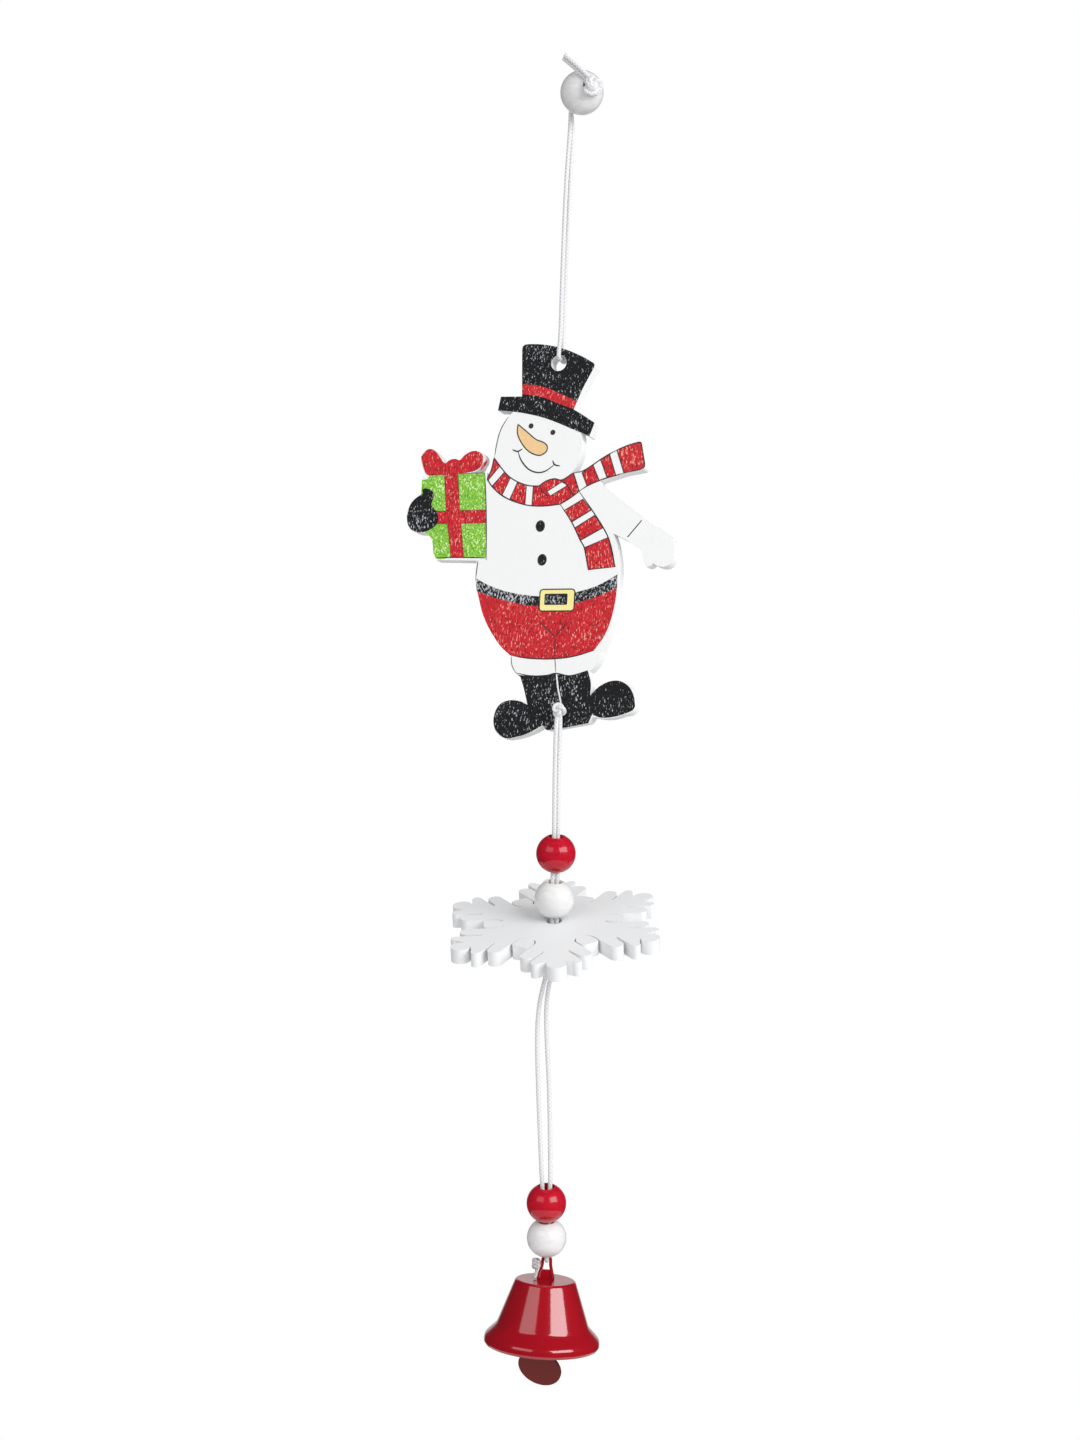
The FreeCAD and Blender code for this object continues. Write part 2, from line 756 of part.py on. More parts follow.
def clapper_disc():
    facing = clapper_facing()
    centre = disc_centre()[0]
    blank = Part.makeCylinder(clapper_d / 2, clapper_t,
                              centre - facing * (clapper_t / 2), facing)
    blank = blank.makeFillet(0.3, [e for e in blank.Edges
                                   if isinstance(e.Curve, Part.Circle)])
    hole_at = centre + clapper_up() * (clapper_d / 2 - clapper_ring)
    hole = Part.makeCylinder(clapper_hole_d / 2, 3 * clapper_t,
                             hole_at - facing * 1.5 * clapper_t, facing)
    return tilt_bell(blank.cut(hole))


# --------------------------------------------------------------------- build
keep("hanger_cord", hanger_cord())
keep("hanger_knot", hanger_knot())
keep("top_bead", bead(top_centre, top_axis, top_bead_d, top_bore))
keep("snowman_board", snowman_board())
keep("pendant_knot", pendant_knot())
keep("pendant_cord", pendant_cord())
keep("mid_red_bead", bead(on_line(0.1, mid_ahead, mid_red_z), bead_axis(),
                          bead_d, bead_bore))
keep("mid_white_bead", bead(on_line(-0.1, mid_ahead, mid_white_z),
                            bead_axis(), bead_d, bead_bore))
keep("snowflake", snowflake())
keep("snowflake_knot", snowflake_knot())
keep("lower_cord", lower_cord())
keep("low_red_bead", bead(low_red_centre(), low_axis(), bead_d, bead_bore))
keep("low_white_bead", bead(low_white_centre(), low_axis(), bead_d,
                            bead_bore))
keep("bell_loop", bell_loop())
keep("bell_knot", bell_knot())
keep("bell_shell", bell_shell())
keep("clapper_rod", clapper_rod())
keep("clapper_disc", clapper_disc())

os.makedirs("parts", exist_ok=True)
for name, shape in PARTS.items():
    box = shape.BoundBox
    print("%-16s solids %d valid %s volume %.1f  x %.1f..%.1f y %.1f..%.1f "
          "z %.1f..%.1f" % (name, len(shape.Solids), shape.isValid(),
                            shape.Volume, box.XMin, box.XMax, box.YMin,
                            box.YMax, box.ZMin, box.ZMax))
    shape.exportStep("parts/%s.step" % name)

tilt = FreeCAD.Rotation(AHEAD, -bell_tilt)
clapper_swing_at = bell_pivot() + tilt.multVec(clapper_pivot() - bell_pivot())
clapper_axis = tilt.multVec(ACROSS)
for label, vector in (("top_axis", top_axis), ("top_centre", top_centre),
                      ("bead_axis", bead_axis()),
                      ("flake_normal", flake_normal()),
                      ("flake_centre", flake_centre()),
                      ("flake_knot", flake_knot_centre()),
                      ("low_axis", low_axis()),
                      ("low_red", low_red_centre()),
                      ("low_white", low_white_centre()),
                      ("bell_pivot", bell_pivot()),
                      ("clapper_swing_at", clapper_swing_at),
                      ("clapper_axis", clapper_axis),
                      ("mid_red", on_line(0.1, mid_ahead, mid_red_z)),
                      ("mid_white", on_line(-0.1, mid_ahead, mid_white_z)),
                      ("hat_pivot", on_board(0, 0, 1.8)),
                      ("boot_hole", on_board(boot_hole_x, 0, boot_hole_z)),
                      ("board_normal", on_board(0, 1, 0) - on_board(0, 0, 0))):
    print("%-14s %.5f %.5f %.5f" % (label, vector.x, vector.y, vector.z))
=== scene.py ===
"""The look of the hanging wooden snowman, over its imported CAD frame."""
import math
import random

import bpy
from mathutils import Matrix, Vector
from mathutils.geometry import tessellate_polygon


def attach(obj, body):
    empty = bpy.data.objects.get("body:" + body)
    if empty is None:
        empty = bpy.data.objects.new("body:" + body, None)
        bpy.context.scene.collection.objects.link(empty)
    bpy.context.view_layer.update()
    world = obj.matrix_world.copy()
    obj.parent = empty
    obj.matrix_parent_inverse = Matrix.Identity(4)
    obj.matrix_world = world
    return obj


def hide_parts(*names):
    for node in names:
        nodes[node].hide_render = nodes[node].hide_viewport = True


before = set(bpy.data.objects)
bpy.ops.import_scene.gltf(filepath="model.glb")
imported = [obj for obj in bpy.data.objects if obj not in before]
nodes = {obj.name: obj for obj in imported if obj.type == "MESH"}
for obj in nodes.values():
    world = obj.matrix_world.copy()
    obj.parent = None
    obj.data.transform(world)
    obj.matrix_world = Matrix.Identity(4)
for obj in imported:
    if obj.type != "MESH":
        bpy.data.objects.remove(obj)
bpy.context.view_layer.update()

MM = 0.001
random.seed(7)
scene = bpy.context.scene

# ------------------------------------------------------------ places, in mm
FACING = math.radians(21)
ACROSS = Vector((math.cos(FACING), math.sin(FACING), 0))
AHEAD = Vector((math.sin(FACING), -math.cos(FACING), 0))
UP = Vector((0, 0, 1))
LINE = Vector((7.42, -16.97, 0))  # the line that the beads hang on
CORD = 1.5
STRAND = 0.8                     # half the distance between two strands
BOARD_T = 5.0
HAT_HOLE = (-0.97, -0.79, -88.7)
BOOT_X, BOOT_Z = 8.3, -122.4     # the boots' hole, from the hat's
BOARD_LEAN = math.radians(-5.5)  # the top leans back
BOARD = (Matrix.Translation(HAT_HOLE)
         @ Matrix.Rotation(BOARD_LEAN, 4, "X"))
TOP_CENTRE = Vector((6.258, -6.343, 4.2))
TOP_AXIS = (ACROSS * 0.40 + AHEAD * 0.915 + UP * 0.05).normalized()
FLAKE_KNOT = Vector((7.348, -15.505, -288.353))
LOW_AXIS = (ACROSS * -0.033 + AHEAD * 0.223 + UP * 0.9743).normalized()
LOW_WHITE = Vector((7.096, -15.595, -390.4))
BEAD_HALF = 6.262                # half a bead's length along its bore
LOW_RED = LOW_WHITE + LOW_AXIS * (2 * BEAD_HALF + 0.1)
PIVOT = LOW_WHITE - LOW_AXIS * BEAD_HALF - UP * 2.1
BELL_TOP = -405.1


def on_line(across, ahead, z):
    """A place beside the hanging line."""
    return LINE + ACROSS * across + AHEAD * ahead + UP * z


def on_board(x, y, z):
    """A place in the leaning board's own axes, from the hat's hole."""
    return BOARD @ Vector((x, y, z))


def in_top_bead(along, aside):
    """A place along the top bead's bore and above its axis."""
    lift = (UP - TOP_AXIS * UP.dot(TOP_AXIS)).normalized()
    return TOP_CENTRE + TOP_AXIS * along + lift * aside


# ----------------------------------------------------------------- materials
class Look:
    """A node-based material under construction."""

    def __init__(self, name, **sockets):
        self.material = bpy.data.materials.new(name)
        self.material.use_nodes = True
        self.tree = self.material.node_tree
        self.shader = self.tree.nodes["Principled BSDF"]
        for key, value in sockets.items():
            self.shader.inputs[key.replace("_", " ")].default_value = value

    def node(self, kind, **settings):
        made = self.tree.nodes.new(kind)
        for key, value in settings.items():
            setattr(made, key, value)
        return made

    def link(self, a, b):
        self.tree.links.new(a, b)

    def coords(self, scale=(1, 1, 1), turn=(0, 0, 0), uv=False):
        source = self.node("ShaderNodeTexCoord")
        mapping = self.node("ShaderNodeMapping")
        mapping.inputs["Scale"].default_value = scale
        mapping.inputs["Rotation"].default_value = turn
        self.link(source.outputs["UV" if uv else "Object"],
                  mapping.inputs["Vector"])
        return mapping.outputs["Vector"]

    def noise(self, vector, scale, detail=2.0, rough=0.5):
        made = self.node("ShaderNodeTexNoise")
        made.inputs["Scale"].default_value = scale
        made.inputs["Detail"].default_value = detail
        made.inputs["Roughness"].default_value = rough
        self.link(vector, made.inputs["Vector"])
        return made.outputs["Fac"]

    def cells(self, vector, scale):
        made = self.node("ShaderNodeTexVoronoi")
        made.inputs["Scale"].default_value = scale
        self.link(vector, made.inputs["Vector"])
        return made

    def ramp(self, fac, *stops):
        made = self.node("ShaderNodeValToRGB")
        bar = made.color_ramp.elements
        while len(bar) < len(stops):
            bar.new(0.5)
        for element, (place, colour) in zip(bar, stops):
            element.position = place
            if not hasattr(colour, "__len__"):
                colour = (colour, colour, colour)
            element.color = (*colour, 1)
        self.link(fac, made.inputs["Fac"])
        return made.outputs["Color"]

    def mix(self, fac, a, b):
        made = self.node("ShaderNodeMix", data_type="RGBA")
        for key, value in (("Factor", fac), ("A", a), ("B", b)):
            socket = made.inputs[key]
            if isinstance(value, bpy.types.NodeSocket):
                self.link(value, socket)
            elif hasattr(value, "__len__"):
                socket.default_value = (*value, 1)
            else:
                socket.default_value = value
        return [s for s in made.outputs if s.type == "RGBA"][0]

    def math(self, how, a, b=0.5):
        made = self.node("ShaderNodeMath", operation=how)
        for i, value in enumerate((a, b)):
            if isinstance(value, bpy.types.NodeSocket):
                self.link(value, made.inputs[i])
            else:
                made.inputs[i].default_value = value
        return made.outputs[0]

    def colour(self, value):
        self.link(value, self.shader.inputs["Base Color"])

    def rough(self, value):
        self.link(value, self.shader.inputs["Roughness"])

    def bump(self, height, strength, depth):
        made = self.node("ShaderNodeBump")
        made.inputs["Strength"].default_value = strength
        made.inputs["Distance"].default_value = depth
        self.link(height, made.inputs["Height"])
        self.link(made.outputs["Normal"], self.shader.inputs["Normal"])


def board_paint(name, tone, stretch):
    """White paint on wood: a faint grain, a few pores, softened gloss."""
    look = Look(name, Roughness=0.55)
    grain = look.noise(look.coords(stretch), 700, 4, 0.6)
    broad = look.noise(look.coords(), 60, 2)
    base = look.mix(grain, [t * 0.95 for t in tone], tone)
    look.colour(look.mix(look.math("MULTIPLY", broad, 0.35), base,
                         [t * 0.93 for t in tone]))
    look.rough(look.ramp(grain, (0.3, 0.62), (0.7, 0.45)))
    look.bump(grain, 0.25, 0.00008)
    return look.material


def glitter(name, base, deep, fleck, amount, size=(2.4, 1.0, 0.9),
            lean=0.25):
    """Printed colour under fine glitter: bright strokes and dark specks."""
    look = Look(name, Roughness=0.5)
    look.shader.inputs["Specular IOR Level"].default_value = 0.3
    vector = look.coords(size, (0, lean, 0))
    strokes = look.noise(vector, 1000, 2, 0.6)
    specks = look.noise(look.coords(size, (0, -lean, 0)), 1100, 2, 0.6)
    broad = look.noise(look.coords(), 110, 2)
    drift = look.math("MULTIPLY", look.math("SUBTRACT", broad, 0.5), 0.22)
    level = look.math("ADD", strokes, drift)
    dark = look.ramp(specks, (0.40, 1.0), (0.46, 0.0))
    ground = look.mix(dark, base, deep)
    bright = look.ramp(level, (amount, 0.0), (amount + 0.08, 1.0))
    look.colour(look.mix(bright, ground, fleck))
    look.rough(look.ramp(level, (amount, 0.6), (amount + 0.1, 0.3)))
    look.bump(strokes, 0.3, 0.0001)
    return look.material


def bead_paint(name, tone, deep, rough):
    """Paint on a turned bead: thin rings of grain and a soft gloss."""
    look = Look(name, Roughness=rough)
    look.shader.inputs["Specular IOR Level"].default_value = 0.1
    look.shader.inputs["Coat Weight"].default_value = 0.7
    look.shader.inputs["Coat Roughness"].default_value = 0.14
    grain = look.noise(look.coords((1, 1, 3.5)), 320, 4, 0.6)
    broad = look.noise(look.coords(), 150, 2)
    base = look.mix(look.ramp(grain, (0.35, 0.0), (0.75, 1.0)), tone, deep)
    look.colour(look.mix(look.math("MULTIPLY", broad, 0.4), base, deep))
    look.bump(grain, 0.2, 0.00008)
    return look.material


def enamel(name, tone, deep, rough, wear, coat=1.0):
    """Enamel on metal, with dust specks and small chips."""
    look = Look(name, Roughness=rough, Metallic=0.0)
    look.shader.inputs["Specular IOR Level"].default_value = 0.1
    look.shader.inputs["Coat Weight"].default_value = coat
    look.shader.inputs["Coat Roughness"].default_value = 0.1
    look.shader.inputs["Coat IOR"].default_value = 1.7
    broad = look.noise(look.coords((1, 1, 0.4)), 120, 3)
    peel = look.noise(look.coords(), 900, 2)
    specks = look.cells(look.coords(), 420).outputs["Distance"]
    base = look.mix(broad, deep, tone)
    chips = look.ramp(specks, (wear, 1.0), (wear + 0.03, 0.0))
    look.colour(look.mix(chips, base, (0.09, 0.01, 0.012)))
    look.bump(peel, 0.05, 0.00006)
    return look.material


def cord_look(name, tone, groove_shade):
    """White braid: two sets of strands that cross round the cord."""
    look = Look(name, Roughness=0.75)
    look.shader.inputs["Sheen Weight"].default_value = 0.25
    split = look.node("ShaderNodeSeparateXYZ")
    look.link(look.coords(uv=True), split.inputs[0])
    along = look.math("MULTIPLY", split.outputs[0], math.tau / 1.3)
    around = look.math("MULTIPLY", split.outputs[1], math.tau * 3)
    one = look.math("SINE", look.math("ADD", along, around))
    two = look.math("SINE", look.math("SUBTRACT", along, around))
    weave = look.math("MAXIMUM", one, two)
    weave = look.math("ADD", look.math("MULTIPLY", weave, 0.5), 0.5)
    fibre = look.noise(look.coords(), 2500, 2)
    # the grooves between the strands are painted darker: painted shade
    shade = look.ramp(weave, (0.2, groove_shade), (0.7, tone))
    look.colour(look.mix(look.math("MULTIPLY", fibre, 0.15), shade,
                         [g * 0.9 for g in groove_shade]))
    look.bump(weave, 0.5, 0.00012)
    return look.material


WHITE = (0.86, 0.865, 0.865)
board_white = board_paint("board_white", WHITE, (3.0, 3.0, 0.35))
flake_white = board_paint("flake_white", (0.815, 0.825, 0.835),
                          (0.6, 0.6, 3.0))
black_print = glitter("black_glitter", (0.008, 0.009, 0.011),
                      (0.003, 0.003, 0.004), (0.52, 0.55, 0.58), 0.60)
belt_print = glitter("belt_glitter", (0.012, 0.013, 0.015),
                     (0.004, 0.004, 0.005), (0.52, 0.55, 0.58), 0.53)
red_print = glitter("red_glitter", (0.60, 0.010, 0.022), (0.24, 0.004, 0.006),
                    (0.95, 0.40, 0.31), 0.60, (2.6, 1.0, 0.7), 0.12)
green_print = glitter("green_glitter", (0.22, 0.53, 0.04),
                      (0.11, 0.32, 0.02), (0.60, 0.86, 0.32), 0.56,
                      (1.8, 1.0, 1.2), 0.4)
yellow_print = glitter("yellow_print", (0.88, 0.78, 0.32),
                       (0.84, 0.72, 0.26), (0.93, 0.88, 0.5), 0.62)
tan_print = glitter("tan_print", (0.82, 0.56, 0.28), (0.78, 0.51, 0.25),
                    (0.88, 0.66, 0.40), 0.64)
ink_print = glitter("ink", (0.03, 0.03, 0.034), (0.02, 0.02, 0.022),
                    (0.09, 0.09, 0.095), 0.62)
white_print = board_paint("white_print", WHITE, (3.0, 3.0, 0.35))
white_bead = bead_paint("white_bead", (0.77, 0.77, 0.765),
                        (0.69, 0.69, 0.685), 0.35)
low_bead = bead_paint("low_white_bead", (0.78, 0.775, 0.775),
                      (0.70, 0.69, 0.69), 0.35)
# the top bead's white is a little darker than the other beads': painted shade
top_bead = bead_paint("shaded_top_white_bead", (0.73, 0.73, 0.74),
                      (0.64, 0.64, 0.65), 0.4)
red_bead = bead_paint("red_bead", (0.56, 0.006, 0.026),
                      (0.36, 0.003, 0.012), 0.28)
bell_red = enamel("bell_red", (0.38, 0.001, 0.010), (0.29, 0.001, 0.007),
                  0.3, 0.05)
clapper_red = enamel("clapper_red", (0.175, 0.012, 0.010),
                     (0.12, 0.012, 0.011), 0.6, 0.08, 0.15)
cord_white = cord_look("cord_white", (0.74, 0.74, 0.75), (0.56, 0.56, 0.58))
# the bell's knot is the same white cord as the rest, painted grey: painted
# shade
shaded_knot_cord = cord_look("shaded_knot_cord", (0.62, 0.59, 0.60), (0.36, 0.32, 0.34))

for name, look in (("snowman_board", board_white), ("snowflake", flake_white),
                   ("top_bead", top_bead), ("mid_white_bead", white_bead),
                   ("low_white_bead", low_bead),
                   ("mid_red_bead", red_bead), ("low_red_bead", red_bead),
                   ("bell_shell", bell_red), ("bell_loop", bell_red),
                   ("clapper_rod", clapper_red),
                   ("clapper_disc", clapper_red)):
    data = nodes[name].data
    data.materials.clear()
    data.materials.append(look)


# -------------------------------------------------------------- mesh helpers
class Shape:
    """Vertices in mm, faces and texture places, gathered into one piece."""

    def __init__(self):
        self.verts, self.faces, self.uvs = [], [], []

    def tube(self, line, radius, sides=14):
        """A round tube on a line, its texture running along it in mm."""
        base, normal, run = len(self.verts), None, 0.0
        for i, point in enumerate(line):
            tangent = (line[min(i + 1, len(line) - 1)]
                       - line[max(i - 1, 0)]).normalized()
            if normal is None:
                normal = tangent.orthogonal()
            normal = (normal - tangent * normal.dot(tangent)).normalized()
            other = tangent.cross(normal)
            if i:
                run += (point - line[i - 1]).length
            for k in range(sides):
                angle = math.tau * k / sides
                self.verts.append(point + (normal * math.cos(angle)
                                           + other * math.sin(angle)) * radius)
            if i:
                low = base + (i - 1) * sides
                back = run - (point - line[i - 1]).length
                for k in range(sides):
                    n = (k + 1) % sides
                    self.faces.append((low + k, low + n,
                                       low + sides + n, low + sides + k))
                    self.uvs.append(((back, k / sides),
                                     (back, (k + 1) / sides),
                                     (run, (k + 1) / sides),
                                     (run, k / sides)))
        for start, turn in ((base, -1), (len(self.verts) - sides, 1)):
            ring = [start + k for k in range(sides)][::turn]
            self.faces.append(tuple(ring))
            self.uvs.append(tuple((0.0, k / sides) for k in range(sides)))

    def ball(self, centre, radius, rings=10, sides=16):
        """The solid middle of a knot."""
        base = len(self.verts)
        for i in range(rings + 1):
            polar = math.pi * i / rings
            for k in range(sides):
                angle = math.tau * k / sides
                self.verts.append(centre + Vector((
                    math.sin(polar) * math.cos(angle),
                    math.sin(polar) * math.sin(angle),
                    math.cos(polar))) * radius)
        for i in range(rings):
            for k in range(sides):
                n = (k + 1) % sides
                low = base + i * sides
                self.faces.append((low + k, low + sides + k,
                                   low + sides + n, low + n))
                self.uvs.append(tuple(
                    (polar * 3.0, side / sides) for polar, side in
                    ((i, k), (i + 1, k), (i + 1, k + 1), (i, k + 1))))

    def build(self, name, look, body, smooth=True):
        """The piece, riding on a body of the frame."""
        data = bpy.data.meshes.new(name)
        data.from_pydata([v * MM for v in self.verts], [], self.faces)
        if self.uvs:
            layer = data.uv_layers.new(name="run")
            for polygon, places in zip(data.polygons, self.uvs):
                for loop, place in zip(polygon.loop_indices, places):
                    layer.data[loop].uv = place
        data.materials.append(look)
        for polygon in data.polygons:
            polygon.use_smooth = smooth
        piece = bpy.data.objects.new(name, data)
        scene.collection.objects.link(piece)
        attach(piece, body)
        return piece


# --------------------------------------------------------------------- cords
def spline_line(route):
    """The line of a NURBS spline with the route's points as its control
    points, in mm."""
    curve = bpy.data.curves.new("route", "CURVE")
    curve.dimensions = "3D"
    spline = curve.splines.new("NURBS")
    spline.points.add(len(route) - 1)
    for control, point in zip(spline.points, route):
        control.co = (*(point * MM), 1)
    spline.order_u = 3
    spline.use_endpoint_u = True
    spline.resolution_u = 24
    holder = bpy.data.objects.new("route", curve)
    scene.collection.objects.link(holder)
    bpy.context.view_layer.update()
    mesh = bpy.data.meshes.new_from_object(holder)
    line = [v.co / MM for v in mesh.vertices]
    bpy.data.objects.remove(holder)
    bpy.data.curves.remove(curve)
    bpy.data.meshes.remove(mesh)
    return line


def hang(name, route, body, node):
    """A cord along a route, in place of a node's plain one."""
    line = spline_line(route)
    made = Shape()
    made.tube(line, CORD / 2)
    piece = made.build(name, cord_white, body)
    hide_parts(node)


def knot(shape, centre, axis, ring, fold, depth, turn=0.0):
    """A cord pulled into a tight knot round an axis."""
    axis = axis.normalized()
    a = axis.orthogonal().normalized()
    b = axis.cross(a)
    rounds, folds, steps = 2, 3, 120
    line = []
    for i in range(steps + 1):
        t = math.tau * i / steps
        reach = ring + fold * math.cos(folds * t)
        line.append(centre + a * (reach * math.cos(rounds * t + turn))
                    + b * (reach * math.sin(rounds * t + turn))
                    + axis * (depth * math.sin(folds * t)))
    shape.tube(line, CORD / 2)


def tied(shape, node, look, body):
    """The piece that stands for a node's plain knot."""
    piece = shape.build(node + "_laid", look, body)
    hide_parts(node)
    return piece


def strand(shape, points, radius, frayed=0):
    """A short cut end of the cord, with loose fibres at its tip."""
    line = spline_line(points)
    shape.tube(line, radius)
    tip, along = line[-1], (line[-1] - line[-2]).normalized()
    for _ in range(frayed):
        side = Vector([random.uniform(-1, 1) for _ in range(3)])
        side = (side - along * side.dot(along)).normalized()
        root = tip - along * 0.4 + side * radius * random.uniform(0.1, 0.85)
        end = (root + along * random.uniform(0.5, 1.1)
               + side * random.uniform(0.0, 0.3))
        shape.tube([root, (root + end) / 2 + side * 0.05, end], 0.09, 5)


# the knot on the top bead, with the two cut ends
made = Shape()
centre = in_top_bead(9.35, 0) - UP * 0.8
made.ball(centre - TOP_AXIS * 0.3 - ACROSS * 0.3 - UP * 0.3, 2.5)
made.ball(centre - TOP_AXIS * 0.8 - ACROSS * 1.5 + UP * 1.8, 1.5)
knot(made, centre - UP * 0.5 - ACROSS * 0.25, TOP_AXIS + UP * 0.1, 1.9, 1.0,
     1.1, 0.4)
knot(made, centre + UP * 0.3 + ACROSS * 0.2, TOP_AXIS - UP * 0.5
     + ACROSS * 0.3, 1.7, 0.9, 1.0, 1.7)
for aside in (-STRAND, STRAND):
    shift = (AHEAD * 0.9 + UP * 0.45 + ACROSS * 0.25) * aside
    strand(made, [centre + UP * 0.9 - ACROSS * 0.6 + shift,
                  centre + UP * 4.6 - ACROSS * 3.6 + AHEAD * 0.2 + shift,
                  centre + UP * 10.5 - ACROSS * 10.0 - AHEAD * 2.9 + shift],
           CORD / 2, 12)
top_knot = tied(made, "hanger_knot", cord_white, "hanger")

# the hanger cord: up through the hat and the top bead on both sides
inner = AHEAD * 0.6 - ACROSS * 0.1
outer = ACROSS * 0.95 - AHEAD * 0.6
hang("hanger_cord_laid", [
    in_top_bead(8.5, -STRAND),
    in_top_bead(0.0, -STRAND),
    in_top_bead(-9.2, -0.5),
    inner - UP * 5.8,
    inner - UP * 26.0 - ACROSS * 1.1,
    on_board(-0.1, -3.7, 26.0),
    on_board(0.5, -3.75, 11.0),
    on_board(0.2, -3.65, 3.6),
    on_board(0.1, -3.35, 1.75),
    on_board(0.0, -1.2, 1.65),
    on_board(0.0, 1.2, 1.65),
    on_board(-0.1, 3.35, 1.75),
    on_board(-0.3, 3.65, 3.6),
    on_board(-1.6, 3.85, 11.0),
    outer - UP * 26.0 - ACROSS * 0.8,
    outer - UP * 5.4,
    in_top_bead(-10.6, 1.1),
    in_top_bead(0.0, STRAND),
    in_top_bead(8.5, STRAND)], "hanger", "hanger_cord")

# the knots in front of and behind the boots' hole
out = BOARD_T / 2 + 2.0
front, rear = (on_board(BOOT_X, y, BOOT_Z) for y in (-out, out))
through = (rear - front).normalized()
made = Shape()
for middle in (front, rear):
    made.ball(middle, 1.4)
    knot(made, middle, through + UP * 0.15, 1.25, 0.75, 0.95, 0.9)
made.tube([front, (front + rear) / 2, rear], 1.15)
boot_knot = tied(made, "pendant_knot", cord_white, "pendant")

# the stop knot under the snowflake
made = Shape()
made.ball(FLAKE_KNOT, 2.2)
knot(made, FLAKE_KNOT, UP + AHEAD * 0.2, 1.55, 0.9, 1.5, 0.3)
knot(made, FLAKE_KNOT, ACROSS + UP * 0.4, 1.5, 0.8, 1.2, 1.1)
flake_knot = tied(made, "snowflake_knot", cord_white, "pendant")

# the pendant cord: down through the two middle beads on both sides
side = ACROSS * STRAND
hang("pendant_cord_laid", [
    FLAKE_KNOT - side + UP * 0.4,
    on_line(-0.80, 0.8, -281.5),
    on_line(-0.83, 0.5, -265.6),
    on_line(-0.62, 1.9, -252.2),
    on_line(-1.00, 0.7, -231.0),
    front - side - UP * 0.2,
    front + side - UP * 0.4,
    on_line(0.15, -0.8, -231.0),
    on_line(0.62, 0.68, -252.2),
    on_line(0.83, 0.5, -265.6),
    on_line(0.80, 0.8, -281.5),
    FLAKE_KNOT + side + UP * 0.4], "pendant", "pendant_cord")

# the lower cord: from under the snowflake, round the bell's loop and back
start = FLAKE_KNOT - UP * 3.45
flank = (ACROSS - LOW_AXIS * ACROSS.dot(LOW_AXIS)).normalized()
lean = (AHEAD - LOW_AXIS * AHEAD.dot(LOW_AXIS)).normalized()
twist = (flank + lean).normalized() * 1.3
hang("lower_cord_laid", [
    start - side,
    on_line(-2.70, -1.0, -302.5),
    on_line(-4.60, -0.7, -312.0),
    on_line(-4.80, -0.3, -323.0),
    on_line(-4.00, 0.4, -339.0),
    on_line(-2.90, 1.4, -356.0),
    LOW_RED + LOW_AXIS * (BEAD_HALF + 1.5) - flank * 1.42,
    LOW_RED - LOW_AXIS * BEAD_HALF - twist,
    PIVOT - AHEAD * 1.4 + UP * 3.2,
    PIVOT - AHEAD * 1.45,
    PIVOT + AHEAD * 1.45,
    PIVOT + AHEAD * 1.4 + UP * 3.2,
    LOW_RED - LOW_AXIS * BEAD_HALF + twist,
    LOW_RED + LOW_AXIS * (BEAD_HALF + 1.5) + flank * 1.42,
    on_line(0.50, 1.0, -356.0),
    on_line(-0.20, 0.0, -339.0),
    on_line(-1.45, -0.5, -323.0),
    on_line(-2.05, -0.9, -312.0),
    on_line(-1.00, -1.1, -302.5),
    start + side], "lower_strands", "lower_cord")

# the end knotted beside the bell's loop, its white cord painted grey: painted
# shade
made = Shape()
tilt = Matrix.Rotation(math.radians(-2.2), 4, AHEAD)


def by_loop(across, ahead_by, z):
    """A place beside the bell's loop, which hangs a little aslant."""
    return PIVOT + tilt @ (ACROSS * across + AHEAD * ahead_by
                           + UP * (z - PIVOT.z))


middle = by_loop(-3.45, 0.25, PIVOT.z - 1.1)
made.ball(middle, 1.2)
knot(made, middle + UP * 0.45, UP + ACROSS * 0.3, 0.75, 0.28, 0.5)
knot(made, middle - UP * 0.7, UP - ACROSS * 0.35, 0.7, 0.28, 0.5, 0.8)
strand(made, [middle, middle - UP * 2.6 + ACROSS * 0.5,
              by_loop(-3.7, 0.9, BELL_TOP + 0.5)], 0.6)
tied(made, "bell_knot", shaded_knot_cord, "bell")


# --------------------------------------------------------------------- print
# The printed front. Places are (across, up) on the board's face.
def smooth(points):
    """A smooth open line through points."""
    if len(points) < 3:
        return [Vector(p) for p in points]
    points = [Vector(p) for p in points]
    ends = ([points[0] * 2 - points[1]] + points
            + [points[-1] * 2 - points[-2]])
    line = []
    for a, b, c, d in zip(ends, ends[1:], ends[2:], ends[3:]):
        length = (c - b).length
        first = (c - a) * (length / max((c - a).length, 1e-6))
        last = (d - b) * (length / max((d - b).length, 1e-6))
        for i in range(6):
            t = i / 6
            line.append(b * (2 * t ** 3 - 3 * t ** 2 + 1)
                        + first * (t ** 3 - 2 * t ** 2 + t)
                        + c * (3 * t ** 2 - 2 * t ** 3)
                        + last * (t ** 3 - t ** 2))
    return line + [points[-1]]


def joined(runs):
    """One closed line from runs that are each smooth."""
    line = []
    for run in runs:
        for point in smooth(run):
            if not line or (point - line[-1]).length > 1e-3:
                line.append(point)
    if (line[0] - line[-1]).length < 1e-3:
        line.pop()
    return line


PRINT_OFF, LAYER = 0.015, 0.012  # off the board, and from layer to layer
PRINT_X, PRINT_Z = -0.9, 0.8     # the print's own zero, from the hat's hole


